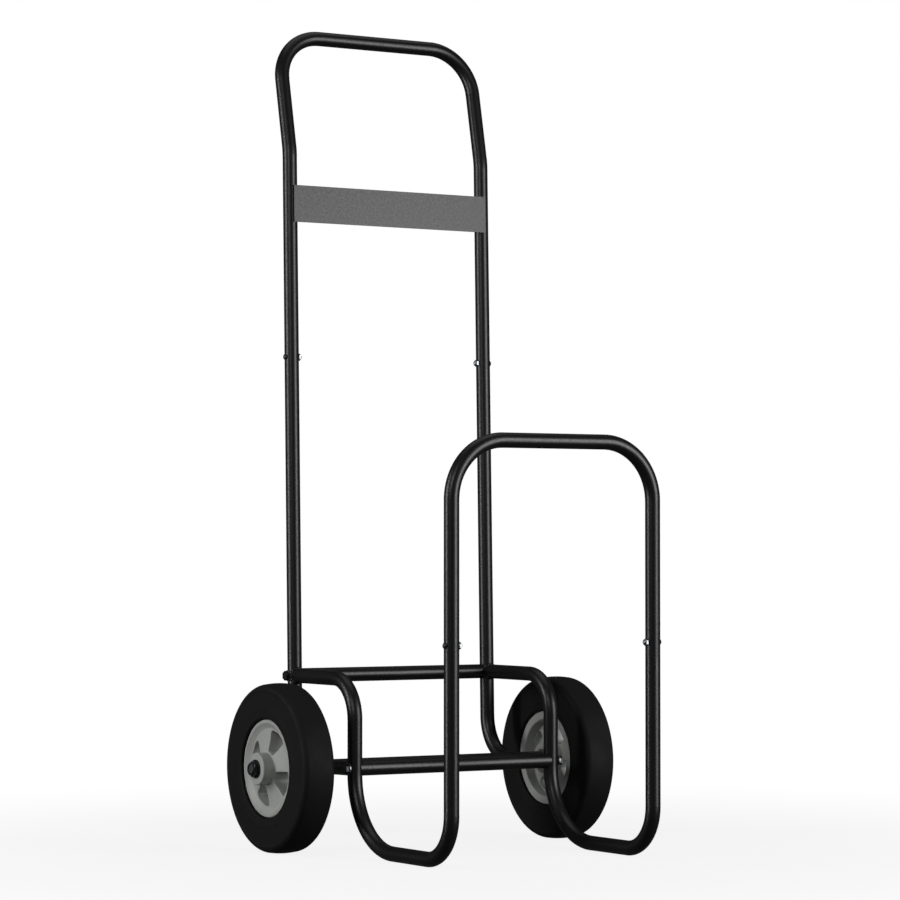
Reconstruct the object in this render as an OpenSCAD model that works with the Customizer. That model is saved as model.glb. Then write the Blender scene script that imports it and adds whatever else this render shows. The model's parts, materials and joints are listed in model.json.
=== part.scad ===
/* Two-wheeled firewood log rack: a tubular steel cart with an open log bay between
   two side rails, a hoop in front, a tall bolted handle and two solid wheels.
   Millimetres. X runs from left to right, the hoop faces -Y, Z is up from the floor. */

/* [Tube] */
// Outer diameter of the frame tube
tube_d = 22.2; // [19:0.1:28]
// Wall thickness of the frame tube
tube_wall = 1.5; // [1.2:0.1:2]
// Radial play between a reduced tube end and the tube that slides over it
slip_play = 0.15; // [0.1:0.05:0.3]
// Half of the length over which two tubes overlap in a bolted joint
joint_lap = 24; // [18:1:35]

/* [Side rails] */
// Distance between the left and the right side rail, centre to centre
side_gap = 348; // [260:1:520]
// Depth from the front legs to the uprights, centre to centre, at shelf height
bay_depth = 457; // [420:1:640]
// Height of the middle of the rear shelf
shelf_z = 261; // [240:1:340]
// Length of the straight run on the floor
floor_run = 97; // [60:1:140]
// Centre line radius of the bend at the front of the floor run
front_bend_r = 66; // [50:1:80]
// Centre line radius of the wide bend at the back of the floor run
rear_bend_r = 110; // [80:1:118]
// Centre line radius of the bend between the riser and the shelf
shelf_bend_r = 60; // [50:1:66]

/* [Hoop] */
// Height of the middle of the hoop's top bar
hoop_z = 611; // [450:1:760]
// Centre line radius of the hoop's corners
hoop_corner_r = 86; // [60:1:110]
// Height of the bolts that hold the hoop
hoop_joint_z = 318; // [260:1:400]

/* [Handle] */
// Height of the middle of the handle's grip bar
handle_z = 1253; // [1040:1:1510]
// Height of the grip bar above the handle's backward bends
handle_rise = 184; // [150:1:300]
// Height of the backward bends above the bolts that hold the handle
handle_leg = 319; // [240:1:420]
// Angle that the uprights lean back from the vertical
lean = 1.3; // [0:0.1:5]
// Further angle that the top of the handle bends back
handle_back_angle = 10.6; // [5:0.1:20]
// Centre line radius of the handle's top corners
handle_corner_r = 72; // [60:1:90]
// Centre line radius of the handle's backward bends
handle_bend_r = 80; // [60:1:100]

/* [Handle plate] */
// Height of the flat plate across the handle
plate_h = 57; // [30:1:80]
// Thickness of the flat plate
plate_t = 2; // [1.5:0.1:4]
// Distance from the handle's backward bends down to the plate's lower edge
plate_drop = 111; // [100:1:200]

/* [Wheels] */
// Diameter of the tyre
wheel_d = 254; // [245:1:310]
// Width of the tyre
tyre_w = 53; // [46:1:70]
// Distance from the uprights forward to the axle
axle_from_back = 88; // [80:1:140]
// Gap between a side rail and the tyre
wheel_gap = 37; // [34:1:60]
// Radius of the rim's lip
rim_r = 73; // [70:1:80]
// Distance that the rim's lip lies inside the tyre's side face
lip_inset = 4.5; // [3:0.5:8]
// Depth from the lip down to the spokes at the rim
dish_depth = 6; // [4:0.5:10]
// Distance that the hub stands out past the lip
hub_out = 18; // [8:0.5:22]
// Wall of the hub round its bushes
hub_wall = 13; // [8:0.5:14]
// Depth of the window walls, which is the thickness of the spokes
spoke_t = 22; // [10:0.5:26]
// Number of windows between the spokes
windows = 4; // [3:1:6]
// Angle that one window takes up
window_angle = 40; // [25:1:50]
// Angle from straight ahead up to the middle of the first window
window_start = 65.8; // [0:0.1:90]

/* [Axle] */
// Diameter of the axle rod
axle_d = 14; // [10:0.5:14.5]
// Radial play between a wheel bush and the axle
bush_play = 0.08; // [0.05:0.01:0.1]
// Distance from the axle to the outside of a wheel bush
bush_wall = 4; // [3:0.5:5]
// Length of one wheel bush
bush_len = 20; // [15:1:24]
// End play of a wheel between its washers, on each side
end_play = 0.4; // [0.3:0.05:0.8]
// Radial play between the axle and the tube and spacers round it
spacer_play = 1; // [0.3:0.1:1.5]
// Wall thickness of the axle tube and of the spacers
spacer_wall = 2.5; // [1.5:0.1:3]

/* [Fasteners] */
// Thread diameter of the joint bolts
joint_bolt_d = 6; // [5:1:8]
// Thread diameter of the cross tube bolts
cross_bolt_d = 8; // [6:1:8]
// Radial play between a bolt and its hole
hole_play = 0.3; // [0.2:0.05:0.5]
// Thickness of the washers
washer_t = 1.6; // [1:0.1:2.5]

/* [Hidden] */
$fn = 64;
cut = 1; // how far a cut runs past the face it opens
bend_swell = 0.05; // how much a bend's radius exceeds the straight tube's
bend_lap = 0.4; // how far a straight tube runs into a bend
notch_trim = cross_bolt_d / 2 + 1; // how far a notched tube stops short of its neighbour's middle
tube_r = tube_d / 2;
bore_r = tube_r - tube_wall;
spigot_r = bore_r - slip_play;
neck = 6; // solid length where a tube narrows to its spigot
side_x = side_gap / 2;
wheel_r = wheel_d / 2;
strut_z = wheel_r;

handle_bend_z = handle_z - handle_rise;
handle_joint_z = handle_bend_z - handle_leg;
plate_z = handle_bend_z - plate_drop;

// The handle's reach behind the uprights sets the overall depth and so the origin
upper_angle = lean + handle_back_angle;
handle_top_y = bay_depth + tan(lean) * (handle_bend_z - shelf_z)
    + tan(upper_angle) * (handle_z - handle_bend_z);
front_y = -handle_top_y / 2;
rear_y = front_y + bay_depth;
riser_y = front_y + front_bend_r + floor_run + rear_bend_r;
axle_y = rear_y - axle_from_back;
function upright_y(z) = rear_y + tan(lean) * (z - shelf_z);

// The foot of the upright turns forward through the axle at a right angle to the upright
heel_drop = (rear_y - axle_y) * sin(lean) + (shelf_z - strut_z) * cos(lean);
heel_y = rear_y - heel_drop * sin(lean);
strut_tip_z = strut_z + (axle_y - riser_y) * tan(lean);

// Wheel sizes, measured outward along the axle from the middle of the tyre
tyre_x = side_x + tube_r + wheel_gap + tyre_w / 2;
lip_face = tyre_w / 2 - lip_inset;
lip_t = 4;
lip_height = 8;
barrel_wall = 5;
barrel_r = rim_r - lip_height;
dish_r = barrel_r - barrel_wall;
axle_washer_d = 2 * axle_d;
bush_d = axle_d + 2 * bush_wall;
hub_d = bush_d + 2 * hub_wall;
spacer_d = axle_d + 2 * (spacer_play + spacer_wall);
spoke_face = lip_face - dish_depth;
hub_face = lip_face + hub_out;
hub_back_out = 1;
hub_back = -tyre_w / 2 - hub_back_out;
spoke_rise = 7; // how far the spokes rise from the rim to the hub
spoke_root = 1; // how far inside the dish the spokes' outer face ends
shoulder_r = 10;
tread_crown = 1.2;
bead_play = 0.1;
bead_r = 3;
bead_step = 1;
hub_edge_r = 1.5;
hub_relief = 1.5;
web = 2; // material between the hub and a window
window_edge = 2;
window_taper = 0.72;
window_in_r = hub_d / 2 + web;
window_out_r = dish_r - window_edge;
washer_play = 0.3;

// Places along the axle, from the middle of the rack outward
spacer_end = tyre_x + hub_back - end_play - washer_t;
hub_seat = tyre_x + hub_face;
nut_x = hub_seat + end_play + washer_t;
lock_nut_h = 0.6 * axle_d;
lock_nut_af = 1.5 * axle_d;
lock_collar_h = 2.5;
lock_collar_r = lock_nut_af / 2 - 1;
axle_recess = 1.5; // how far the axle ends short of its nut's face
axle_end = nut_x + lock_nut_h - axle_recess;

// Joint fasteners
head_h = 3.2;
head_d = 1.7 * joint_bolt_d;
nut_h = 3;
nut_af = 1.6 * joint_bolt_d;
cap_d = 0.95 * nut_af;
shank_reach = 1; // how far a shank runs on into its nut's cap or its own head
hex_head_h = 0.66 * cross_bolt_d;
hex_head_af = 1.625 * cross_bolt_d;
cross_washer_d = 2.125 * cross_bolt_d;
cross_bolt_reach = 20;
plug_len = 28;
plug_play = 0.05;
cross_places = [[rear_y, shelf_z], [riser_y, strut_tip_z]];

// ---- tube runs ----

// One bend that starts at the origin heading up and turns towards +Y, or -Y if negative
module bend(angle, radius, r) {
    side = angle > 0 ? 1 : -1;
    translate([0, side * radius, 0])
        rotate([90, 0, -side * 90])
            rotate_extrude(angle = abs(angle))
                translate([radius, 0]) circle(r);
}

// Moves what follows to the end of such a bend
module after_bend(angle, radius) {
    side = angle > 0 ? 1 : -1;
    translate([0, side * radius * (1 - cos(angle)), radius * sin(abs(angle))])
        rotate([-angle, 0, 0]) children();
}

// A run of tube: each row is [straight length, roll, bend angle, bend radius].
// The straights run a little way into the bends, which are a hair fatter.
module run(rows, r, i = 0) {
    length = rows[i][0];
    roll = rows[i][1];
    angle = rows[i][2];
    radius = rows[i][3];
    is_last = i == len(rows) - 1;
    before = i > 0 ? bend_lap : 0;
    after = is_last ? 0 : bend_lap;
    translate([0, 0, -before]) cylinder(h = before + length + after, r = r);
    if (!is_last)
        translate([0, 0, length]) rotate([0, 0, roll]) {
            bend(angle, radius, r + bend_swell);
            after_bend(angle, radius) run(rows, r, i + 1);
        }
}

// The same rows with the first and the last length changed
function trimmed(rows, first, last) = [for (i = [0 : len(rows) - 1])
    [rows[i][0] + (i == 0 ? first : 0) + (i == len(rows) - 1 ? last : 0),
        rows[i][1], rows[i][2], rows[i][3]]];

// A tube that is open at both ends
module open_tube(rows) {
    difference() {
        run(rows, tube_r);
        translate([0, 0, -cut]) run(trimmed(rows, cut, cut), bore_r);
    }
}

// A tube whose first end is reduced to a spigot that reaches back into its neighbour
module spigot_tube(rows) {
    difference() {
        union() {
            run(rows, tube_r);
            translate([0, 0, -2 * joint_lap]) cylinder(h = 2 * joint_lap + cut, r = spigot_r);
        }
        translate([0, 0, neck]) run(trimmed(rows, -neck, cut), bore_r);
        translate([0, 0, -2 * joint_lap - cut])
            cylinder(h = 2 * joint_lap + neck + 2 * cut, r = spigot_r - tube_wall);
    }
}

// A bar along X through a point of the side view, for holes and shafts
module across(y, z, from_x, to_x, r) {
    translate([from_x, y, z]) rotate([0, 90, 0]) cylinder(h = to_x - from_x, r = r);
}

// Both sides of the rack: the children are drawn for the right and mirrored to the left
module both_sides() {
    children();
    mirror([1, 0, 0]) children();
}

// ---- handle ----

upper_len = (handle_z - handle_bend_z) / cos(upper_angle);
back_tangent = handle_bend_r * tan(handle_back_angle / 2);
handle_foot_z = handle_joint_z - joint_lap * cos(lean);
handle_rows = [
    [(handle_bend_z - handle_foot_z) / cos(lean) - back_tangent, 0,
        handle_back_angle, handle_bend_r],
    [upper_len - back_tangent - handle_corner_r, -90, 90, handle_corner_r],
    [side_gap - 2 * handle_corner_r, 0, 90, handle_corner_r],
    [upper_len - back_tangent - handle_corner_r, 90, handle_back_angle, handle_bend_r],
    [(handle_bend_z - handle_foot_z) / cos(lean) - back_tangent, 0, 0, 0]];

module handle_tube() {
    color("#26272a")
    difference() {
        translate([-side_x, upright_y(handle_foot_z), handle_foot_z])
            rotate([-lean, 0, 0]) open_tube(handle_rows);
        across(upright_y(handle_joint_z), handle_joint_z, -side_gap, side_gap,
            joint_bolt_d / 2 + hole_play);
    }
}

module handle_plate() {
    color("#4a4949")
    translate([0, upright_y(plate_z), plate_z]) rotate([-lean, 0, 0])
        translate([-side_x, -tube_r - plate_t, 0])
            cube([side_gap, plate_t, plate_h]);
}

// ---- side frames ----

upright_rows = [
    [(handle_foot_z - shelf_z) / cos(lean) + heel_drop - front_bend_r, 0, 90, front_bend_r],
    [(heel_y - riser_y) / cos(lean) - front_bend_r - notch_trim, 0, 0, 0]];

// Drawn where a side tube passes the axle, along the foot of the upright
module strut_core(r) {
    translate([side_x, axle_y, strut_z]) rotate([90 - lean, 0, 0])
        translate([0, 0, -tube_d]) cylinder(h = 2 * tube_d, r = r);
}

module upright(side) {
    color("#232427")
    difference() {
        translate([side * side_x, upright_y(handle_foot_z), handle_foot_z])
            rotate([180 - lean, 0, 0]) spigot_tube(upright_rows);
        across(upright_y(handle_joint_z), handle_joint_z, -side_gap, side_gap,
            joint_bolt_d / 2 + hole_play);
        across(rear_y, shelf_z, -side_gap, side_gap, cross_bolt_d / 2 + hole_play);
        across(axle_y, strut_z, -side_gap, side_gap, axle_d / 2 + hole_play);
        translate([side * side_x, riser_y, 0]) cylinder(h = shelf_z, r = tube_r);
    }
}

hoop_foot_z = hoop_joint_z - joint_lap;
rail_rows = [
    [hoop_foot_z - tube_r - front_bend_r, 180, 90, front_bend_r],
    [floor_run, 0, 90, rear_bend_r],
    [shelf_z - tube_r - rear_bend_r - shelf_bend_r, 0, -90, shelf_bend_r],
    [rear_y - riser_y - shelf_bend_r - notch_trim, 0, 0, 0]];

module side_rail(side) {
    color("#232427")
    difference() {
        translate([side * side_x, front_y, hoop_foot_z])
            rotate([180, 0, 0]) spigot_tube(rail_rows);
        across(front_y, hoop_joint_z, -side_gap, side_gap, joint_bolt_d / 2 + hole_play);
        across(riser_y, strut_tip_z, -side_gap, side_gap, cross_bolt_d / 2 + hole_play);
        translate([side * side_x, rear_y, shelf_z]) rotate([-lean, 0, 0])
            translate([0, 0, -2 * tube_d]) cylinder(h = 4 * tube_d, r = tube_r);
    }
}

// ---- front hoop ----

hoop_rows = [
    [hoop_z - hoop_corner_r - hoop_foot_z, -90, 90, hoop_corner_r],
    [side_gap - 2 * hoop_corner_r, 0, 90, hoop_corner_r],
    [hoop_z - hoop_corner_r - hoop_foot_z, 0, 0, 0]];

module front_hoop() {
    color("#26272a")
    difference() {
        translate([-side_x, front_y, hoop_foot_z]) open_tube(hoop_rows);
        across(front_y, hoop_joint_z, -side_gap, side_gap, joint_bolt_d / 2 + hole_play);
    }
}

// ---- cross tubes ----

// A cross tube with its ends notched round the standing side tubes, which lean by tilt,
// and round the bar that meets each of them from the direction given as a turn about X
module cross_tube(y, z, tilt, bar_turn) {
    color("#232427")
    difference() {
        across(y, z, notch_trim - side_x, side_x - notch_trim, tube_r);
        across(y, z, -side_gap, side_gap, bore_r);
        both_sides() translate([side_x, y, z]) {
            rotate([-tilt, 0, 0])
                translate([0, 0, -2 * tube_d]) cylinder(h = 4 * tube_d, r = tube_r);
            rotate([bar_turn, 0, 0]) cylinder(h = 2 * tube_d, r = tube_r);
        }
    }
}

module rear_cross_tube() { cross_tube(rear_y, shelf_z, lean, 90); }

module bay_cross_tube() { cross_tube(riser_y, strut_tip_z, 0, -90 - lean); }

// Threaded plugs pressed into both ends of the two cross tubes
module cross_tube_plugs() {
    color("#3a3b3d")
    for (place = cross_places) both_sides()
        difference() {
            across(place[0], place[1], side_x - tube_r - plug_len, side_x - tube_r,
                bore_r - plug_play);
            across(place[0], place[1], 0, side_gap, cross_bolt_d / 2 + plug_play);
        }
}

// ---- fasteners ----

// A domed head: a shallow cap cut from a ball
module dome(d, h) {
    ball_r = (d * d / 4 + h * h) / (2 * h);
    intersection() {
        translate([0, 0, h - ball_r]) sphere(r = ball_r);
        cylinder(h = h, r = d / 2);
    }
}

// A bolt through a side tube: domed head on the outside, shank towards the middle
module joint_bolt(y, z) {
    translate([side_x, y, z]) rotate([0, 90, 0]) {
        translate([0, 0, tube_r]) dome(head_d, head_h);
        translate([0, 0, -tube_r - nut_h - shank_reach])
            cylinder(h = 2 * tube_r + nut_h + 2 * shank_reach, r = joint_bolt_d / 2);
    }
}

// A low cap nut on the inner side of a side tube
module joint_nut(y, z) {
    translate([side_x - tube_r, y, z]) rotate([0, -90, 0])
        difference() {
            union() {
                cylinder(h = nut_h, r = nut_af / 2 / cos(30), $fn = 6);
                translate([0, 0, nut_h]) dome(cap_d, nut_h);
            }
            translate([0, 0, -cut]) cylinder(h = nut_h + shank_reach + cut + plug_play,
                r = joint_bolt_d / 2 + plug_play);
        }
}

module handle_joint_bolts() {
    color("#303134") both_sides() joint_bolt(upright_y(handle_joint_z), handle_joint_z);
}

module handle_joint_nuts() {
    color("#8d8f92") both_sides() joint_nut(upright_y(handle_joint_z), handle_joint_z);
}

module hoop_joint_bolts() {
    color("#303134") both_sides() joint_bolt(front_y, hoop_joint_z);
}

module hoop_joint_nuts() {
    color("#8d8f92") both_sides() joint_nut(front_y, hoop_joint_z);
}

// Hexagon bolts that screw into the plugs of the cross tubes
module cross_tube_bolts() {
    seat = side_x + tube_r + washer_t;
    color("#303134")
    for (place = cross_places) both_sides() {
        across(place[0], place[1], side_x - tube_r - cross_bolt_reach, seat + shank_reach,
            cross_bolt_d / 2);
        translate([seat, place[0], place[1]]) rotate([0, 90, 0])
            cylinder(h = hex_head_h, r = hex_head_af / 2 / cos(30), $fn = 6);
    }
}

module washer(x, y, z, d, hole_d) {
    difference() {
        across(y, z, x, x + washer_t, d / 2);
        across(y, z, x - cut, x + washer_t + cut, hole_d / 2 + washer_play);
    }
}

module cross_tube_washers() {
    color("#8d8f92")
    for (place = cross_places) both_sides()
        washer(side_x + tube_r, place[0], place[1], cross_washer_d, cross_bolt_d);
}

// ---- axle ----

module axle_rod() {
    color("#9a9c9e") across(axle_y, strut_z, -axle_end, axle_end, axle_d / 2);
}

// A sleeve round the axle, notched where it meets a side tube that runs along Y
module axle_sleeve(from_x, to_x) {
    difference() {
        across(axle_y, strut_z, from_x, to_x, spacer_d / 2);
        across(axle_y, strut_z, from_x - cut, to_x + cut, spacer_d / 2 - spacer_wall);
        both_sides() strut_core(tube_r);
    }
}

module axle_tube() {
    color("#232427") axle_sleeve(-side_x, side_x);
}

module axle_spacer(side) {
    color("#232427") mirror([side > 0 ? 0 : 1, 0, 0]) axle_sleeve(side_x, spacer_end);
}

module inner_axle_washers() {
    color("#8d8f92") both_sides()
        washer(spacer_end, axle_y, strut_z, axle_washer_d, axle_d);
}

module outer_axle_washers() {
    color("#303134") both_sides()
        washer(hub_seat + end_play, axle_y, strut_z, axle_washer_d, axle_d);
}

module axle_lock_nuts() {
    color("#303134") both_sides() translate([nut_x, axle_y, strut_z]) rotate([0, 90, 0])
        difference() {
            union() {
                cylinder(h = lock_nut_h - lock_collar_h, r = lock_nut_af / 2 / cos(30), $fn = 6);
                cylinder(h = lock_nut_h, r = lock_collar_r);
            }
            translate([0, 0, -cut]) cylinder(h = lock_nut_h + 2 * cut, r = axle_d / 2 + plug_play);
        }
}

// ---- wheels ----

// Wheel parts are drawn with the axle along Z and the outer face up, then set in place
module on_axle(side) {
    mirror([side > 0 ? 0 : 1, 0, 0])
        translate([tyre_x, axle_y, strut_z]) rotate([0, 90, 0]) rotate([0, 0, 180]) children();
}

// Points of a round corner about centre c, from angle a0 to a1
function corner(c, r, a0, a1) = [for (i = [0 : 6]) let (a = a0 + (a1 - a0) * i / 6)
    c + r * [cos(a), sin(a)]];

// An outline and its mirror image below, for a section that is the same on both faces
function two_faced(points) = concat(points,
    [for (i = [len(points) - 1 : -1 : 0]) [points[i][0], -points[i][1]]]);

// Half section of the solid tyre: radius against distance from its middle
module tyre_section() {
    half = tyre_w / 2;
    bead = lip_face - lip_t - bead_play;
    polygon(two_faced(concat(
        [[barrel_r, bead], [rim_r + bead_play + bead_step, bead]],
        corner([rim_r + bead_step + bead_r, half - bead_r], bead_r, 180, 90),
        corner([wheel_r - tread_crown - shoulder_r, half - shoulder_r], shoulder_r, 90, 8),
        [[wheel_r, half / 3]])));
}

module tyre(side) {
    color("#1c1919") on_axle(side) rotate_extrude($fn = 96) tyre_section();
}

// Half section of the rim: hub, domed spoke disc, dish, barrel and two lips
module rim_section() {
    hub_r = hub_d / 2;
    lip_r = lip_t / 2;
    lip_in_r = rim_r - lip_r;
    polygon(concat(
        [[0, hub_back]],
        corner([hub_r - hub_edge_r, hub_back + hub_edge_r], hub_edge_r, -90, 0),
        [[hub_r, spoke_face - spoke_t], [dish_r, spoke_face - spoke_t], [dish_r, -lip_face]],
        corner([lip_in_r, -lip_face + lip_r], lip_r, -90, 90),
        [[barrel_r, -lip_face + lip_t], [barrel_r, lip_face - lip_t]],
        corner([lip_in_r, lip_face - lip_r], lip_r, -90, 90),
        [[rim_r - lip_t, lip_face], [dish_r - spoke_root, spoke_face],
            [hub_r, spoke_face + spoke_rise]],
        corner([hub_r - hub_edge_r, hub_face - hub_edge_r], hub_edge_r, 0, 90),
        [[0, hub_face]]));
}

// One window: a sector between two radii with rounded corners at the rim
module window_shape() {
    steps = 12;
    outer_half = window_angle / 2;
    inner_half = window_taper * outer_half;
    polygon(concat(
        [for (i = [0 : steps]) let (a = outer_half * (2 * i / steps - 1))
            window_out_r * [cos(a), sin(a)]],
        [for (i = [0 : steps]) let (a = inner_half * (1 - 2 * i / steps))
            window_in_r * [cos(a), sin(a)]]));
}

module rim(side) {
    color("#858a88") on_axle(side)
    difference() {
        rotate_extrude($fn = 96) rim_section();
        // windows
        for (i = [0 : windows - 1]) rotate([0, 0, 90 - window_start + i * 360 / windows])
            translate([0, 0, spoke_face - spoke_t - cut])
                linear_extrude(spoke_t + spoke_rise + 2 * cut) window_shape();
        // bush seats and the relief between them
        translate([0, 0, hub_back - cut]) cylinder(h = bush_len + cut, r = bush_d / 2);
        translate([0, 0, hub_back]) cylinder(h = hub_face - hub_back,
            r = axle_d / 2 + hub_relief);
        translate([0, 0, hub_face - bush_len]) cylinder(h = bush_len + cut, r = bush_d / 2);
    }
}

// Two plain nylon bushes, one at each end of the hub's bore
module wheel_bushes(side) {
    color("#c9c8c2") on_axle(side)
    for (z = [hub_back, hub_face - bush_len]) translate([0, 0, z])
        difference() {
            cylinder(h = bush_len, r = bush_d / 2);
            translate([0, 0, -cut]) cylinder(h = bush_len + 2 * cut, r = axle_d / 2 + bush_play);
        }
}

handle_tube();
handle_plate();
upright(-1);  // left_upright
upright(1);  // right_upright
side_rail(-1);  // left_side_rail
side_rail(1);  // right_side_rail
front_hoop();
rear_cross_tube();
bay_cross_tube();
cross_tube_plugs();
handle_joint_bolts();
handle_joint_nuts();
hoop_joint_bolts();
hoop_joint_nuts();
cross_tube_bolts();
cross_tube_washers();
axle_rod();
axle_tube();
axle_spacer(-1);  // left_axle_spacer
axle_spacer(1);  // right_axle_spacer
inner_axle_washers();
outer_axle_washers();
axle_lock_nuts();
rim(-1);  // left_rim
rim(1);  // right_rim
tyre(-1);  // left_tyre
tyre(1);  // right_tyre
wheel_bushes(-1);  // left_wheel_bushes
wheel_bushes(1);  // right_wheel_bushes
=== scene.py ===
import json
import math

import bpy
import numpy as np
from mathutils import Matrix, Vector


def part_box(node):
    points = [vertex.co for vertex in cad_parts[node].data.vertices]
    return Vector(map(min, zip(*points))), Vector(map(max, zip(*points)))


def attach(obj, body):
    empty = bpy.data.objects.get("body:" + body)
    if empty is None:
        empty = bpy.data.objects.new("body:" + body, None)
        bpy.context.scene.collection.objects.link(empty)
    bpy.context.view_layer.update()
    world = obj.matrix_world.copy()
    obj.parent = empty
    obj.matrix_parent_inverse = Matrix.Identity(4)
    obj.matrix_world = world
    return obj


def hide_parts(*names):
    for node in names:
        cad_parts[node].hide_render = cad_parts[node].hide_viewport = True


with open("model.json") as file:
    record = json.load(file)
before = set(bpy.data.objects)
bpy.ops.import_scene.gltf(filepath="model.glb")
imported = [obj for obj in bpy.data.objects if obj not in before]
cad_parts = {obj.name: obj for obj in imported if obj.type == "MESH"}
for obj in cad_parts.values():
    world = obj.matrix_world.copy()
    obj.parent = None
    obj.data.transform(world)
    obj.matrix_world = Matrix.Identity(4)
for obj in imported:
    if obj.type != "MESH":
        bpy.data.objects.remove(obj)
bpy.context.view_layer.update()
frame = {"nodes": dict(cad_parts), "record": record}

mm = 0.001
nodes = frame["nodes"]


def hexToLinear(text):
    # sRGB hex to linear, with full alpha
    parts = [int(text[i:i + 2], 16) / 255 for i in (1, 3, 5)]
    return tuple(p / 12.92 if p <= 0.04045 else ((p + 0.055) / 1.055) ** 2.4 for p in parts) + (1,)


def boxOf(node):
    # lowest corner, highest corner, centre and size of a frame node
    low, high = (np.array(corner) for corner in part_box(node))
    return low, high, (low + high) / 2, high - low


def gridFaces(rows, columns, start=0, closeRows=False, closeColumns=True):
    # quads of a rows by columns grid of points, each row's points one after the other
    i = np.arange(rows if closeRows else rows - 1)[:, None]
    j = np.arange(columns if closeColumns else columns - 1)[None, :]
    nextRow, nextColumn = (i + 1) % rows, (j + 1) % columns
    quads = np.stack(np.broadcast_arrays(i * columns + j, i * columns + nextColumn,
                                         nextRow * columns + nextColumn, nextRow * columns + j), -1)
    return quads.reshape(-1, 4) + start


def addPiece(name, grids, material, body, replaced=(), sharp=32):
    # each grid is (points rows x columns x 3, closeRows, closeColumns); touching grids are merged
    points, quads, start = [], [], 0
    for grid, closeRows, closeColumns in grids:
        rows, columns = grid.shape[:2]
        quads.append(gridFaces(rows, columns, start, closeRows, closeColumns))
        points.append(grid.reshape(-1, 3))
        start += rows * columns
    points, quads = np.concatenate(points), np.concatenate(quads)
    # points that round to the same step of two micrometres become one
    mergeStep = 2e-6
    _, first, same = np.unique(np.round(points / mergeStep).astype(np.int64), axis=0,
                               return_index=True, return_inverse=True)
    points, quads = points[first], same.reshape(-1)[quads]
    mesh = bpy.data.meshes.new(name)
    mesh.from_pydata(points.tolist(), [], [tuple(dict.fromkeys(q)) for q in quads.tolist()
                                           if len(set(q)) > 2])
    mesh.validate()
    piece = bpy.data.objects.new(name, mesh)
    bpy.context.scene.collection.objects.link(piece)
    bpy.context.view_layer.objects.active = piece
    piece.select_set(True)
    bpy.ops.object.mode_set(mode="EDIT")
    bpy.ops.mesh.select_all(action="SELECT")
    bpy.ops.mesh.normals_make_consistent(inside=False)
    bpy.ops.object.mode_set(mode="OBJECT")
    piece.select_set(False)
    mesh.shade_smooth()
    mesh.set_sharp_from_angle(angle=math.radians(sharp))
    mesh.materials.append(material)
    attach(piece, body)
    if replaced:
        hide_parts(*replaced)
    return piece


def arc(centre, radius, fromAngle, toAngle, count=8):
    # points of a round corner: centre plus radius times (cos, sin), angles in degrees
    a = np.radians(np.linspace(fromAngle, toAngle, count))
    return np.stack([centre[0] + radius * np.cos(a), centre[1] + radius * np.sin(a)], 1)


def spun(profile, centre, side=1, columns=192, turn=0.0):
    # a profile of (distance along the axle, radius) turned about the axle line through centre
    a = np.linspace(0, 2 * np.pi, columns, endpoint=False) + turn
    along, radius = profile[:, :1], profile[:, 1:]
    return np.stack(np.broadcast_arrays(centre[0] + side * along, centre[1] - radius * np.cos(a),
                                        centre[2] + radius * np.sin(a)), -1)


def addNode(material, kind, settings=None, inputs=None):
    # a node, its settings, and its inputs as plain values or as (node, output) to link
    node = material.node_tree.nodes.new(kind)
    for key, value in (settings or {}).items():
        setattr(node, key, value)
    for key, value in (inputs or {}).items():
        if isinstance(value, tuple) and isinstance(value[0], bpy.types.Node):
            material.node_tree.links.new(value[0].outputs[value[1]], node.inputs[key])
        else:
            node.inputs[key].default_value = value
    return node


def startMaterial(name, metallic=0.0, ior=1.5, **settings):
    # an empty material with its shader, output and object coordinates
    material = bpy.data.materials.new(name)
    material.use_nodes = True
    material.node_tree.nodes.clear()
    shader = addNode(material, "ShaderNodeBsdfPrincipled", None,
                     {"Metallic": metallic, "IOR": ior, **settings})
    addNode(material, "ShaderNodeOutputMaterial", None, {"Surface": (shader, "BSDF")})
    place = addNode(material, "ShaderNodeTexCoord")
    return material, shader, place


def perMetre(sizeMm):
    # noise scale that gives features of this size
    return 1000 / sizeMm


def linkTo(material, shader, socket, node, output):
    material.node_tree.links.new(node.outputs[output], shader.inputs[socket])


powderCoat = {"dark": "#0c0c0d", "light": "#131314", "cloudMm": 90, "peelMm": 3.5,
              "peelHeightMm": 0.014, "roughLow": 0.33, "roughHigh": 0.39,
              "scuffTopMm": 5, "scuffMm": 14, "scuffColour": "#54524f", "scuffRoughness": 0.3}


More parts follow.
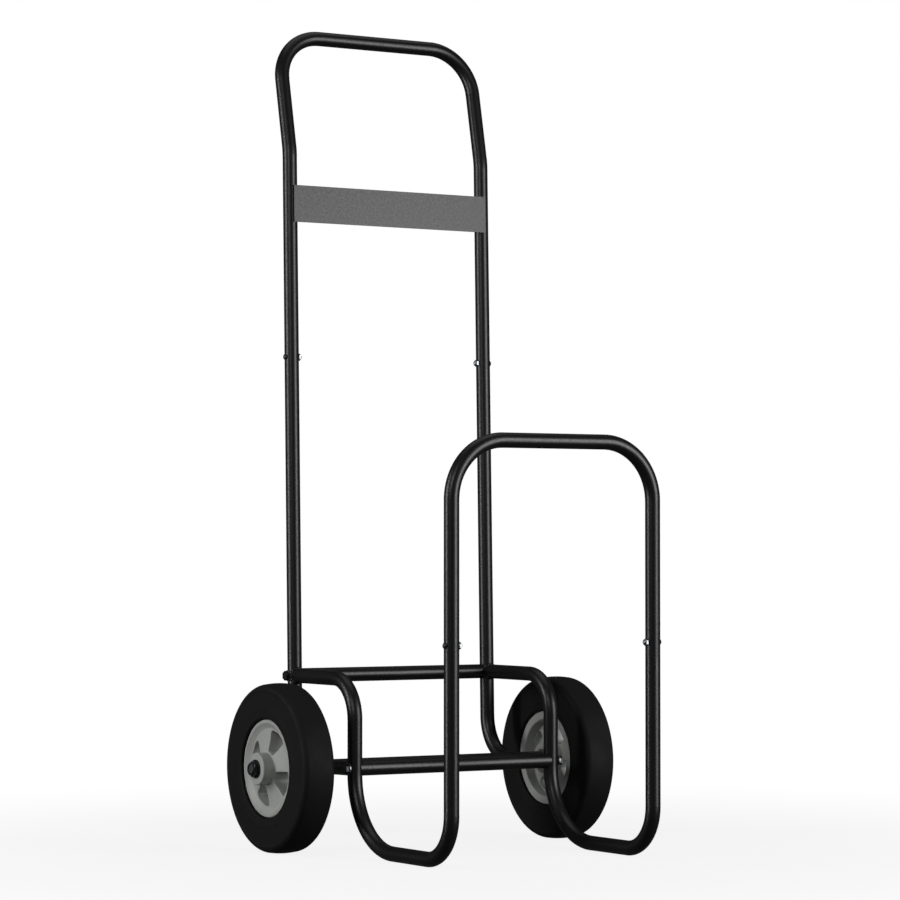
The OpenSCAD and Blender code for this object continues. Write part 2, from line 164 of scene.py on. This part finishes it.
def makePowderCoat(name):
    # baked polyester powder on steel: satin black with a faint orange peel and a soft, wide highlight
    c = powderCoat
    material, shader, place = startMaterial(name)
    cloud = addNode(material, "ShaderNodeTexNoise", None,
                    {"Vector": (place, "Object"), "Scale": perMetre(c["cloudMm"]), "Detail": 4.0})
    tint = addNode(material, "ShaderNodeMix", {"data_type": "RGBA"},
                   {"Factor": (cloud, "Fac"), "A": hexToLinear(c["dark"]), "B": hexToLinear(c["light"])})
    # the real peel is about 1 mm across, drawn coarser so that it shows
    peel = addNode(material, "ShaderNodeTexNoise", None,
                   {"Vector": (place, "Object"), "Scale": perMetre(c["peelMm"]), "Detail": 3.0})
    grain = addNode(material, "ShaderNodeMapRange", None,
                    {"Value": (peel, "Fac"), "From Min": 0.3, "From Max": 0.7,
                     "To Min": c["roughLow"], "To Max": c["roughHigh"]})
    # where the rack stands on the ground the coat is rubbed dull and paler
    split = addNode(material, "ShaderNodeSeparateXYZ", None, {"Vector": (place, "Object")})
    low = addNode(material, "ShaderNodeMapRange", None,
                  {"Value": (split, "Z"), "From Min": c["scuffTopMm"] * mm, "From Max": 0.0,
                   "To Min": 0.0, "To Max": 1.0})
    broken = addNode(material, "ShaderNodeTexNoise", None,
                     {"Vector": (place, "Object"), "Scale": perMetre(c["scuffMm"]), "Detail": 8.0,
                      "Roughness": 0.7})
    patch = addNode(material, "ShaderNodeMapRange", None,
                    {"Value": (broken, "Fac"), "From Min": 0.42, "From Max": 0.62})
    scuff = addNode(material, "ShaderNodeMath", {"operation": "MULTIPLY"},
                    {0: (low, "Result"), 1: (patch, "Result")})
    colour = addNode(material, "ShaderNodeMix", {"data_type": "RGBA"},
                     {"Factor": (scuff, "Value"), "A": (tint, "Result"), "B": hexToLinear(c["scuffColour"])})
    rough = addNode(material, "ShaderNodeMath", {"operation": "MULTIPLY_ADD", "use_clamp": True},
                    {0: (scuff, "Value"), 1: c["scuffRoughness"], 2: (grain, "Result")})
    bump = addNode(material, "ShaderNodeBump", None,
                   {"Height": (peel, "Fac"), "Strength": 0.5, "Distance": c["peelHeightMm"] * mm})
    linkTo(material, shader, "Base Color", colour, "Result")
    linkTo(material, shader, "Roughness", rough, "Value")
    linkTo(material, shader, "Normal", bump, "Normal")
    return material


rubber = {"dark": "#0d0c0c", "light": "#171515", "grainMm": 1.6, "grainHeightMm": 0.05,
          "roughLow": 0.6, "roughHigh": 0.76, "dust": "#211e1d", "bloomMm": 45, "dustMm": 9}


def makeRubber():
    # moulded solid rubber: near black, dull, with a slight bloom that lifts the flat sides
    c = rubber
    material, shader, place = startMaterial("mouldedRubber", ior=1.52, **{"Specular IOR Level": 0.2})
    bloom = addNode(material, "ShaderNodeTexNoise", None,
                    {"Vector": (place, "Object"), "Scale": perMetre(c["bloomMm"]), "Detail": 6.0,
                      "Roughness": 0.6})
    tint = addNode(material, "ShaderNodeMix", {"data_type": "RGBA"},
                   {"Factor": (bloom, "Fac"), "A": hexToLinear(c["dark"]), "B": hexToLinear(c["light"])})
    speck = addNode(material, "ShaderNodeTexNoise", None,
                    {"Vector": (place, "Object"), "Scale": perMetre(c["dustMm"]), "Detail": 9.0,
                      "Roughness": 0.75})
    dusty = addNode(material, "ShaderNodeMapRange", None,
                    {"Value": (speck, "Fac"), "From Min": 0.56, "From Max": 0.78, "To Max": 0.35})
    colour = addNode(material, "ShaderNodeMix", {"data_type": "RGBA"},
                     {"Factor": (dusty, "Result"), "A": (tint, "Result"), "B": hexToLinear(c["dust"])})
    grain = addNode(material, "ShaderNodeTexNoise", None,
                    {"Vector": (place, "Object"), "Scale": perMetre(c["grainMm"]), "Detail": 2.0})
    rough = addNode(material, "ShaderNodeMapRange", None,
                    {"Value": (bloom, "Fac"), "From Min": 0.3, "From Max": 0.7,
                     "To Min": c["roughLow"], "To Max": c["roughHigh"]})
    bump = addNode(material, "ShaderNodeBump", None,
                   {"Height": (grain, "Fac"), "Strength": 0.4, "Distance": c["grainHeightMm"] * mm})
    linkTo(material, shader, "Base Color", colour, "Result")
    linkTo(material, shader, "Roughness", rough, "Result")
    linkTo(material, shader, "Normal", bump, "Normal")
    return material


rimPlastic = {"dark": "#adb0ac", "light": "#bdbfbb", "flowMm": 28, "grainMm": 1.4,
              "grainHeightMm": 0.04, "roughLow": 0.4, "roughHigh": 0.52}


def makeRimPlastic():
    # injection moulded polypropylene: cool grey, spark-eroded grain, faint flow clouds
    c = rimPlastic
    material, shader, place = startMaterial("mouldedGreyPolypropylene", ior=1.49)
    flow = addNode(material, "ShaderNodeTexNoise", None,
                   {"Vector": (place, "Object"), "Scale": perMetre(c["flowMm"]), "Detail": 5.0,
                    "Distortion": 0.8})
    tint = addNode(material, "ShaderNodeMix", {"data_type": "RGBA"},
                   {"Factor": (flow, "Fac"), "A": hexToLinear(c["dark"]), "B": hexToLinear(c["light"])})
    # the mould's grain is about 0.2 mm, drawn coarser so that it shows
    grain = addNode(material, "ShaderNodeTexNoise", None,
                    {"Vector": (place, "Object"), "Scale": perMetre(c["grainMm"]), "Detail": 4.0})
    rough = addNode(material, "ShaderNodeMapRange", None,
                    {"Value": (flow, "Fac"), "From Min": 0.3, "From Max": 0.7,
                     "To Min": c["roughLow"], "To Max": c["roughHigh"]})
    bump = addNode(material, "ShaderNodeBump", None,
                   {"Height": (grain, "Fac"), "Strength": 0.45, "Distance": c["grainHeightMm"] * mm})
    linkTo(material, shader, "Base Color", tint, "Result")
    linkTo(material, shader, "Roughness", rough, "Result")
    linkTo(material, shader, "Normal", bump, "Normal")
    return material


def makeMetal(name, dark, light, roughLow, roughHigh, stretch=(1, 1, 1), patternMm=4.0):
    # bare or plated metal: two close tints and a roughness that varies along the grain
    material, shader, place = startMaterial(name, metallic=1.0)
    grainWay = addNode(material, "ShaderNodeMapping", None,
                       {"Vector": (place, "Object"), "Scale": stretch})
    noise = addNode(material, "ShaderNodeTexNoise", None,
                    {"Vector": (grainWay, "Vector"), "Scale": perMetre(patternMm), "Detail": 5.0})
    tint = addNode(material, "ShaderNodeMix", {"data_type": "RGBA"},
                   {"Factor": (noise, "Fac"), "A": hexToLinear(dark), "B": hexToLinear(light)})
    rough = addNode(material, "ShaderNodeMapRange", None,
                    {"Value": (noise, "Fac"), "From Min": 0.3, "From Max": 0.7,
                     "To Min": roughLow, "To Max": roughHigh})
    bump = addNode(material, "ShaderNodeBump", None,
                   {"Height": (noise, "Fac"), "Strength": 0.3, "Distance": 0.02 * mm})
    linkTo(material, shader, "Base Color", tint, "Result")
    linkTo(material, shader, "Roughness", rough, "Result")
    linkTo(material, shader, "Normal", bump, "Normal")
    return material


def makeNylon():
    # natural nylon: warm off-white, waxy
    material, shader, place = startMaterial("naturalNylon", ior=1.53)
    noise = addNode(material, "ShaderNodeTexNoise", None,
                    {"Vector": (place, "Object"), "Scale": perMetre(6), "Detail": 4.0})
    tint = addNode(material, "ShaderNodeMix", {"data_type": "RGBA"},
                   {"Factor": (noise, "Fac"), "A": hexToLinear("#c9c4b4"), "B": hexToLinear("#dcd8cb")})
    rough = addNode(material, "ShaderNodeMapRange", None,
                    {"Value": (noise, "Fac"), "To Min": 0.42, "To Max": 0.55})
    linkTo(material, shader, "Base Color", tint, "Result")
    linkTo(material, shader, "Roughness", rough, "Result")
    return material


coat = makePowderCoat("satinBlackPowderCoat")
tyreRubber = makeRubber()
rimGrey = makeRimPlastic()
# clear zinc plate: cool grey and slightly cloudy
zinc = makeMetal("clearZincPlate", "#8c9094", "#a6a9ac", 0.3, 0.48)
# black zinc: dark, with a metal glint on its edges
blackZinc = makeMetal("blackZincPlate", "#3e3f41", "#4e4f51", 0.36, 0.5)
# drawn bar: fine lines along the axle
drawnSteel = makeMetal("drawnSteel", "#83868a", "#9b9ea1", 0.26, 0.42, stretch=(0.06, 1, 1), patternMm=1.5)
nylon = makeNylon()

finishes = {"frame_tube": coat, "plate": coat, "black_hardware": blackZinc, "zinc_hardware": zinc,
            "axle": drawnSteel, "rim": rimGrey, "tyre": tyreRubber, "bush": nylon}
for part in frame["record"]["subparts"]:
    mesh = nodes[part["node"]].data
    mesh.materials.clear()
    mesh.materials.append(finishes[part["material_slot"]])
print("materials ready")


wheel = {"lipInset": 4.5, "lipThickness": 4, "lipHeight": 8, "barrelWall": 5, "dishDepth": 6,
         "spokeThickness": 22, "spokeRise": 7, "spokeCurve": 1.7, "hubRadius": 24,
         "bushRadius": 11, "bushLength": 20, "boreRelief": 1.5, "axleRadius": 7,
         "windows": 4, "windowAngle": 40, "windowStart": 65.8, "windowIn": 26, "windowOut": 58,
         "windowTaper": 0.13, "windowRoundness": 5.5, "edgeRound": 1.4,
         "hubOuterRound": 2, "hubInnerRound": 1.5, "rootRise": 0.5, "rootRound": 1.2,
         "lipDepth": 3, "backRound": 1,
         "shoulderRound": 10, "crown": 1.2, "beadGap": 1.2, "beadRound": 3, "beadPlay": 0.1,
         "sideInset": 0.5, "sideEnd": 8, "ringHeight": 0.5, "ringPlace": 14, "ringWidth": 2.2}


def tyreProfile(halfWidth, radius, rimRadius):
    # half section outward from the middle: crown, shoulder arc, flat side with a low ring, bead
    c = wheel
    shoulder = c["shoulderRound"] * mm
    lipFace = halfWidth - c["lipInset"] * mm
    edge = radius - c["crown"] * mm
    crown = np.linspace(0, halfWidth - shoulder, 14)
    tread = radius - c["crown"] * mm * (crown / (halfWidth - shoulder)) ** 2
    outer = np.stack([crown, tread], 1)
    corner = arc((halfWidth - shoulder, edge - shoulder), shoulder, 88, 0, 12)
    # a low moulded ring stands on the side wall: height times e to the minus (distance over width) squared
    sideRadius = np.linspace(edge - shoulder - 1 * mm, rimRadius + c["sideEnd"] * mm, 26)
    fromRing = sideRadius - (rimRadius + c["ringPlace"] * mm)
    ring = np.exp(-(fromRing / (c["ringWidth"] * mm)) ** 2) * c["ringHeight"] * mm
    side = np.stack([halfWidth - c["sideInset"] * mm + ring, sideRadius], 1)
    beadRound, beadRadius = c["beadRound"] * mm, rimRadius + c["beadGap"] * mm
    bead = arc((halfWidth - c["sideInset"] * mm - beadRound, beadRadius + beadRound), beadRound, 0, -90, 8)
    seatFace = lipFace - (c["lipThickness"] + c["beadPlay"]) * mm
    seat = np.array([[seatFace, beadRadius], [seatFace, rimRadius - c["lipHeight"] * mm]])
    half = np.concatenate([outer, corner, side, bead, seat])
    mirrored = half[::-1] * [-1, 1]
    return np.concatenate([half, mirrored[:-1]])


def spokeHeight(flat, face, rise, hub, dish):
    # the spokes rise towards the hub: rise times (1 - q) to a power, q being 0 at the hub and 1 at the dish
    q = np.clip((np.linalg.norm(flat, axis=-1) - hub) / (dish - hub), 0, 1)
    return face + rise * (1 - q) ** wheel["spokeCurve"]


def rimGrids(side, centre, outFace, backFace, halfWidth, rimRadius):
    # spoke disc as one ring of points round each window, joined to a spun hub and a spun barrel
    c = wheel
    arcSteps, radialSteps = 30, 14
    columns = c["windows"] * arcSteps
    lipFace = halfWidth - c["lipInset"] * mm
    lip = c["lipThickness"] * mm / 2
    barrel = rimRadius - c["lipHeight"] * mm
    dish = barrel - c["barrelWall"] * mm
    hub = c["hubRadius"] * mm
    face = lipFace - c["dishDepth"] * mm
    back = face - c["spokeThickness"] * mm
    rise = c["spokeRise"] * mm
    quarter = math.radians(180 / c["windows"])
    turn = math.radians(c["windowStart"])

    # walk round a square: u turns about the axle, v runs from hub to dish
    u = np.concatenate([np.linspace(-1, 1, arcSteps, endpoint=False), np.ones(radialSteps),
                        np.linspace(1, -1, arcSteps, endpoint=False), -np.ones(radialSteps)])
    v = np.concatenate([-np.ones(arcSteps), np.linspace(-1, 1, radialSteps, endpoint=False),
                        np.ones(arcSteps), np.linspace(1, -1, radialSteps, endpoint=False)])
    # the square is drawn in to a rounded one: divided by the n-th root of |u| to the n plus |v| to the n
    power = c["windowRoundness"]
    squircle = (np.abs(u) ** power + np.abs(v) ** power) ** (-1 / power)
    windowU, windowV = u * squircle, v * squircle
    middle = (c["windowIn"] + c["windowOut"]) / 2 * mm
    reach = (c["windowOut"] - c["windowIn"]) / 2 * mm
    halfAngle = math.radians(c["windowAngle"] / 2) * (1 + c["windowTaper"] * windowV)
    grids = []
    for k in range(c["windows"]):
        mid = turn + 2 * np.pi * k / c["windows"]
        boundAngle, boundRadius = mid + u * quarter, hub + (v + 1) / 2 * (dish - hub)
        holeAngle, holeRadius = mid + halfAngle * windowU, middle + reach * windowV
        bound = np.stack([boundRadius * np.cos(boundAngle), boundRadius * np.sin(boundAngle)], -1)
        hole = np.stack([holeRadius * np.cos(holeAngle), holeRadius * np.sin(holeAngle)], -1)
        away = (bound - hole) / np.linalg.norm(bound - hole, axis=-1, keepdims=True)
        rows = []
        edge = c["edgeRound"] * mm
        backEdge = edge * 0.5
        # outer face towards the window, its round edge, the smaller round edge at the back, the inner face
        for s in np.linspace(0, 1, 9):
            blendAngle = boundAngle + s * (holeAngle - boundAngle)
            blendRadius = boundRadius + s * (holeRadius - boundRadius)
            flat = np.stack([blendRadius * np.cos(blendAngle), blendRadius * np.sin(blendAngle)], -1)
            flat = flat + away * edge * s
            rows.append((flat, spokeHeight(flat, face, rise, hub, dish)))
        for bend in np.radians(np.linspace(15, 90, 6)):
            flat = hole + away * edge * (1 - np.sin(bend))
            height = spokeHeight(hole + away * edge, face, rise, hub, dish)
            rows.append((flat, height - edge * (1 - np.cos(bend))))
        for bend in np.radians(np.linspace(0, 90, 4)):
            flat = hole + away * backEdge * (1 - np.cos(bend))
            rows.append((flat, back + backEdge * (1 - np.sin(bend)) + 0 * flat[..., 0]))
        for s in np.linspace(0, 1, 4):
            flat = bound if s == 1 else (hole + away * backEdge) * (1 - s) + bound * s
            rows.append((flat, back + 0 * flat[..., 0]))
        grid = np.stack([np.stack([centre[0] + side * height, centre[1] - flat[..., 0],
                                   centre[2] + flat[..., 1]], -1) for flat, height in rows])
        grids.append((grid, False, True))

    # hub: out along its side, round its rim, across its end, through the bore and back outside
    axle, bush, length = c["axleRadius"] * mm, c["bushRadius"] * mm, c["bushLength"] * mm
    bore = axle + c["boreRelief"] * mm
    outerRound, innerRound = c["hubOuterRound"] * mm, c["hubInnerRound"] * mm
    hubProfile = np.concatenate([
        [[face + rise, hub]],
        arc((outFace - outerRound, hub - outerRound), outerRound, 90, 0, 9),
        [[outFace, bush], [outFace - length, bush], [outFace - length, bore],
         [backFace + length, bore], [backFace + length, bush], [backFace, bush]],
        arc((backFace + innerRound, hub - innerRound), innerRound, 180, 90, 7),
        [[back, hub]]])
    grids.append((spun(hubProfile, centre, side, columns, turn - quarter), False, True))

    # barrel: up the dish, round the outer lip, across the tyre's seat, round the inner lip and back
    top, backRound = rimRadius - lip, c["backRound"] * mm
    barrelProfile = np.concatenate([
        [[face, dish], [face + c["rootRise"] * mm, dish + c["rootRound"] * mm],
         [lipFace, top - c["lipDepth"] * mm]],
        arc((lipFace - lip, top), lip, 0, 180, 14),
        [[lipFace - 2 * lip, barrel], [-lipFace + 2 * lip, barrel]],
        arc((-lipFace + lip, top), lip, 0, 180, 14),
        [[-lipFace, dish + backRound], [-lipFace + backRound, dish], [back, dish]]])
    grids.append((spun(barrelProfile, centre, side, columns, turn - quarter), False, True))
    return grids


for side, label in ((-1, "left"), (1, "right")):
    _, _, tyreMiddle, tyreSize = boxOf(label + "_tyre")
    rimLow, rimHigh, _, rimSize = boxOf(label + "_rim")
    outer = rimHigh[0] if side > 0 else rimLow[0]
    inner = rimLow[0] if side > 0 else rimHigh[0]
    outFace, backFace = side * (outer - tyreMiddle[0]), side * (inner - tyreMiddle[0])
    profile = tyreProfile(tyreSize[0] / 2, tyreSize[2] / 2, rimSize[2] / 2)
    addPiece(label + "Tyre", [(spun(profile, tyreMiddle, side), True, True)], tyreRubber,
             label + "_wheel", [label + "_tyre"])
    addPiece(label + "Rim", rimGrids(side, tyreMiddle, outFace, backFace, tyreSize[0] / 2,
                                     rimSize[2] / 2),
             rimGrey, label + "_wheel", [label + "_rim"])
print("wheels ready")

lockNut = {"acrossFlats": 21, "hexHeight": 5.9, "height": 8.4, "collarRadius": 9.5, "boreRadius": 7.05,
           "chamferDepth": 0.48, "collarRound": 1.3}


def lockNutGrid(side, seat, centre):
    # radius at angle a is half the flats over cos(a to the nearest flat), but no more than the chamfer's
    c = lockNut
    a = np.linspace(0, 2 * np.pi, 96, endpoint=False)
    half, flatAngle = c["acrossFlats"] / 2 * mm, math.pi / 3
    hexagon = half / np.cos((a + flatAngle / 2) % flatAngle - flatAngle / 2)
    tip, body = half / math.cos(flatAngle / 2), c["hexHeight"] * mm
    chamfer = c["chamferDepth"] * mm
    bore, collar, rounding = c["boreRadius"] * mm, c["collarRadius"] * mm, c["collarRound"] * mm
    end = c["height"] * mm
    crown = [(end - rounding + rounding * math.sin(t), collar - rounding + rounding * math.cos(t))
             for t in np.linspace(0, np.pi / 2, 7)]
    limits = [(0, bore), (0, half), (chamfer, tip), (body - chamfer, tip), (body, half),
              (body, collar), *crown, (end, bore)]
    radius = np.stack([np.minimum(hexagon, limit) for _, limit in limits])
    along = np.array([x for x, _ in limits])[:, None]
    return np.stack(np.broadcast_arrays(seat + side * along, centre[1] - radius * np.cos(a),
                                        centre[2] + radius * np.sin(a)), -1)


_, _, nutMiddle, nutSize = boxOf("axle_lock_nuts")
nutSeat = nutSize[0] / 2 - lockNut["height"] * mm
nutGrids = [(lockNutGrid(side, side * nutSeat, nutMiddle), True, True) for side in (-1, 1)]
addPiece("axleLockNuts", nutGrids, blackZinc, "frame", ["axle_lock_nuts"], sharp=24)

# weld beads laid by hand round the two joints behind each wheel
weld = {"radius": 1.9, "ripple": 0.22, "ripplePitch": 3.2, "notch": 5, "strutLean": 1.3}


def saddleBead(centre, tubeRadius, way, lean):
    # where a tube meets a standing tube: sideways R cos, up R sin, and out along the tube the root of
    # (R sin) squared plus notch squared; the bead swells by ripple times cos along its length
    c = weld
    turn = np.linspace(0, 2 * np.pi, 260, endpoint=False)
    sideways, up = tubeRadius * np.cos(turn), tubeRadius * np.sin(turn)
    out = np.sqrt(up ** 2 + (c["notch"] * mm) ** 2)
    path = np.stack([sideways, way * out, up], -1)
    tangent = np.roll(path, -1, 0) - np.roll(path, 1, 0)
    tangent /= np.linalg.norm(tangent, axis=-1, keepdims=True)
    outward = np.stack([np.cos(turn), 0 * turn, np.sin(turn)], -1)
    outward -= tangent * (outward * tangent).sum(-1, keepdims=True)
    outward /= np.linalg.norm(outward, axis=-1, keepdims=True)
    across = np.cross(tangent, outward)
    ripples = round(2 * math.pi * tubeRadius / (c["ripplePitch"] * mm))
    swell = (c["radius"] + c["ripple"] * np.cos(ripples * turn)) * mm
    around = np.linspace(0, 2 * np.pi, 18, endpoint=False)[None, :, None]
    points = path[:, None] + swell[:, None, None] * (np.cos(around) * outward[:, None]
                                                     + np.sin(around) * across[:, None])
    tilt = math.radians(lean)
    y = points[..., 1] * math.cos(tilt) + points[..., 2] * math.sin(tilt)
    z = points[..., 2] * math.cos(tilt) - points[..., 1] * math.sin(tilt)
    return np.stack([centre[0] + points[..., 0], centre[1] + y, centre[2] + z], -1)


tubeRadius = boxOf("rear_cross_tube")[3][2] / 2
shelf, strut = boxOf("rear_cross_tube")[2], boxOf("bay_cross_tube")[2]
for label in ("left", "right"):
    uprightX = boxOf(label + "_upright")[2][0]
    for name, place, way, lean in (("ShelfWeld", shelf, -1, 0), ("StrutWeld", strut, 1, weld["strutLean"])):
        grid = saddleBead((uprightX, place[1], place[2]), tubeRadius, way, lean)
        addPiece(label + name, [(grid, True, True)], coat, "frame", (), sharp=60)
print("nuts and welds ready")


view = {"place": (-2.679, -4.312, 0.459), "yaw": 31.68, "pitch": 1.64, "lens": 134.39, "clipEnd": 100}
lens = bpy.data.cameras.new("camera")
lens.lens = view["lens"]
lens.clip_end = view["clipEnd"]
camera = bpy.data.objects.new("camera", lens)
camera.location = view["place"]
camera.rotation_euler = (math.radians(90 + view["pitch"]), 0, math.radians(-view["yaw"]))
bpy.context.scene.collection.objects.link(camera)
bpy.context.scene.camera = camera
bpy.context.scene.view_settings.view_transform = "Standard"

floorMesh = bpy.data.meshes.new("floor")
floorHalf = 40
floorCorners = [(x * floorHalf, y * floorHalf, 0) for x, y in ((-1, -1), (1, -1), (1, 1), (-1, 1))]
floorMesh.from_pydata(floorCorners, [], [(0, 1, 2, 3)])
floor = bpy.data.objects.new("floor", floorMesh)
bpy.context.scene.collection.objects.link(floor)
# the rack is lit by the softboxes alone, so its undersides stay dark
floor.visible_glossy = False
floor.visible_diffuse = False
# pale matt floor that is mostly white glow, so it keeps only a faint shadow, and all glow from 1.6 m out
paper, paperShader, paperPlace = startMaterial("paleFloor")
paperShader.inputs["Base Color"].default_value = hexToLinear("#efefee")
paperShader.inputs["Roughness"].default_value = 0.9
paperShader.inputs["Specular IOR Level"].default_value = 0.1
reach = addNode(paper, "ShaderNodeVectorMath", {"operation": "LENGTH"}, {0: (paperPlace, "Object")})
fade = addNode(paper, "ShaderNodeMapRange", {"interpolation_type": "SMOOTHSTEP"},
               {"Value": (reach, "Value"), "From Min": 0.4, "From Max": 1.6, "To Min": 0.86})
glow = addNode(paper, "ShaderNodeEmission", None, {"Color": (1, 1, 1, 1), "Strength": 1.0})
both = addNode(paper, "ShaderNodeMixShader", None,
               {0: (fade, "Result"), 1: (paperShader, "BSDF"), 2: (glow, "Emission")})
paperOutput = next(n for n in paper.node_tree.nodes if n.type == "OUTPUT_MATERIAL")
linkTo(paper, paperOutput, "Surface", both, 0)
floorMesh.materials.append(paper)

world = bpy.data.worlds.new("studio")
bpy.context.scene.world = world
world.use_nodes = True
world.node_tree.nodes.clear()
seen = addNode(world, "ShaderNodeBackground", None, {"Color": (1, 1, 1, 1), "Strength": 1.0})
room = addNode(world, "ShaderNodeBackground", None, {"Color": (0.97, 0.97, 1.0, 1), "Strength": 0.05})
path = addNode(world, "ShaderNodeLightPath")
mixed = addNode(world, "ShaderNodeMixShader", None,
                {0: (path, "Is Camera Ray"), 1: (room, "Background"), 2: (seen, "Background")})
addNode(world, "ShaderNodeOutputWorld", None, {"Surface": (mixed, "Shader")})


def addSoftbox(name, place, aim, width, height, watts):
    # a rectangular area light turned towards aim, sizes in metres
    light = bpy.data.lights.new(name, "AREA")
    light.shape = "RECTANGLE"
    light.size, light.size_y, light.energy = width, height, watts
    box = bpy.data.objects.new(name, light)
    box.location = place
    box.rotation_euler = (Vector(aim) - Vector(place)).to_track_quat("-Z", "Y").to_euler()
    bpy.context.scene.collection.objects.link(box)


rackMiddle = (0, 0, 0.6)
addSoftbox("rightFrontBox", (1.75, -2.75, 0.9), rackMiddle, width=1.3, height=2.0, watts=62)
addSoftbox("leftBox", (-3.0, 0.9, 0.9), rackMiddle, width=0.5, height=2.4, watts=45)
addSoftbox("topBox", (0.2, 0.3, 3.4), rackMiddle, width=2.6, height=2.6, watts=12)
addSoftbox("leftFrontBox", (-2.6, -1.9, 1.8), rackMiddle, width=1.0, height=1.0, watts=16)
print("camera, floor and light ready")
